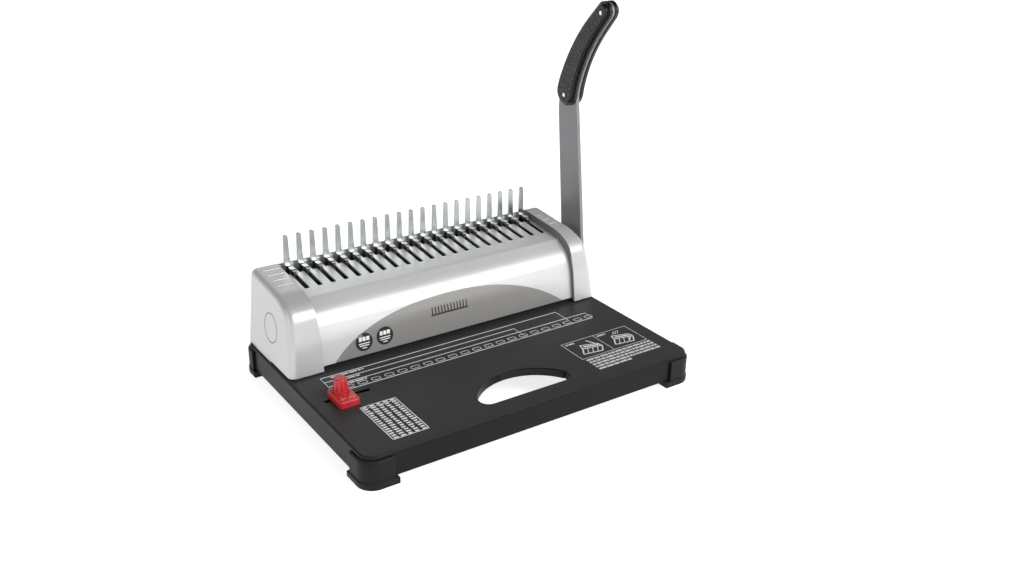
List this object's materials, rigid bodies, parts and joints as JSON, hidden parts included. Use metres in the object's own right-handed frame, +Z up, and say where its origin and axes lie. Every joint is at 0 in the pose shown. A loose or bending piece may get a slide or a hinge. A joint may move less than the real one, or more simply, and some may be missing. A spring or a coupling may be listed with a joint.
{
  "type": "comb binding machine",
  "caption": "Desktop machine that punches a row of rectangular holes along a paper edge with a side lever and opens plastic combs on a row of prongs",
  "frame": {"origin": "on the floor, at the middle of the machine's bounding box seen from above", "axes": "+X to the right as the user faces it, +Y to the back, +Z up; the lever is on the +X side"},
  "size_m": [0.3856, 0.269, 0.3562],
  "materials": {
    "base_paint": "satin near-black powder paint on sheet steel",
    "guard_rubber": "matt moulded rubber",
    "housing_silver": "pearly silver-white moulded plastic, soft gloss",
    "cover_silver": "silver paint on folded sheet steel",
    "plaque_grey": "warm grey satin",
    "bright_steel": "bright plated steel",
    "tool_steel": "ground tool steel",
    "frame_zinc": "zinc-plated sheet steel",
    "lever_paint": "mid-grey satin paint on flat steel bar",
    "grip_black": "black grained plastic",
    "rivet_bright": "polished rivet heads",
    "nylon": "natural nylon",
    "guide_red": "bright red moulded plastic",
    "tray_black": "black moulded plastic",
    "screw_zinc": "zinc-plated screws"
  },
  "bodies": {
    "root": {"base_pan": "base_paint", "corner_guard_front_left": "guard_rubber", "corner_guard_front_right": "guard_rubber", "corner_guard_rear_left": "guard_rubber", "corner_guard_rear_right": "guard_rubber", "guard_screws": "screw_zinc", "shaft_plug": "housing_silver", "left_end_cap": "housing_silver", "right_end_cap": "housing_silver", "cap_screws": "screw_zinc", "centre_cover": "cover_silver", "arch_plaque": "plaque_grey", "rear_cover": "housing_silver", "rear_screws": "screw_zinc", "prongs": "bright_steel", "prong_rail": "frame_zinc", "left_side_frame": "frame_zinc", "right_side_frame": "frame_zinc", "shaft_bush_left": "nylon", "shaft_bush_right": "nylon", "slide_strip_left": "nylon", "slide_strip_right": "nylon", "frame_screws": "screw_zinc", "front_tie_rod": "frame_zinc", "die_plate": "tool_steel", "punch_guide": "tool_steel", "paper_stop": "frame_zinc", "lift_spring_left": "bright_steel", "lift_spring_right": "bright_steel", "tray_runner_left": "frame_zinc", "tray_runner_right": "frame_zinc"},
    "opener": {"crank_left": "frame_zinc", "crank_right": "frame_zinc", "crank_pins": "tool_steel"},
    "lever": {"main_shaft": "tool_steel", "drive_pins": "tool_steel", "punch_cam_left": "tool_steel", "punch_cam_right": "tool_steel", "lever_arm": "lever_paint", "grip_inner": "grip_black", "grip_outer": "grip_black", "grip_rivets": "rivet_bright", "lever_hub": "lever_paint", "lever_washer": "frame_zinc", "lever_screw": "screw_zinc"},
    "hook_carriage": {"hook_plate": "frame_zinc", "hooks": "bright_steel", "carriage_arm_left": "frame_zinc", "carriage_arm_right": "frame_zinc"},
    "punch_beam": {"punch_beam": "frame_zinc", "punch_pins": "tool_steel", "pin_keeper": "frame_zinc"},
    "edge_guide": {"edge_guide": "guide_red", "guide_stud": "frame_zinc"},
    "guide_knob": {"guide_knob": "guide_red"},
    "chip_tray": {"chip_tray": "tray_black"}
  },
  "joints": [
    {"name": "lever_push_back", "type": "hinge", "parent": "root", "child": "opener", "pos_m": [-0.00143, 0.075, 0.068], "axis": [1, 0, 0], "range_deg": [-60, 0]},
    {"name": "lever_pull", "type": "hinge", "parent": "opener", "child": "lever", "pos_m": [-0.00143, 0.075, 0.068], "axis": [1, 0, 0], "range_deg": [0, 75], "stiffness_Nm_per_rad": 0.35, "springref_deg": -91.67},
    {"name": "hook_slide", "type": "slide", "parent": "root", "child": "hook_carriage", "axis": [0, 1, 0], "range_m": [-0.0275, 0]},
    {"name": "beam_drop", "type": "slide", "parent": "root", "child": "punch_beam", "axis": [0, 0, -1], "range_m": [0, 0.0095], "deforming": ["lift_spring_left", "lift_spring_right"]},
    {"name": "guide_slide", "type": "slide", "parent": "root", "child": "edge_guide", "axis": [1, 0, 0], "range_m": [-0.012, 0.025]},
    {"name": "knob_turn", "type": "hinge", "parent": "edge_guide", "child": "guide_knob", "pos_m": [-0.16025, -0.0255, 0.0401], "axis": [0, 0, 1], "range_deg": [0, 360]},
    {"name": "tray_slide", "type": "slide", "parent": "root", "child": "chip_tray", "axis": [0, 1, 0], "range_m": [0, 0.095]}
  ],
  "couplings": [
    {"joint": "lever_push_back", "follows": "hook_slide", "rad_per_m": 38.079},
    {"joint": "lever_pull", "follows": "beam_drop", "rad_per_m": 137.79}
  ]
}
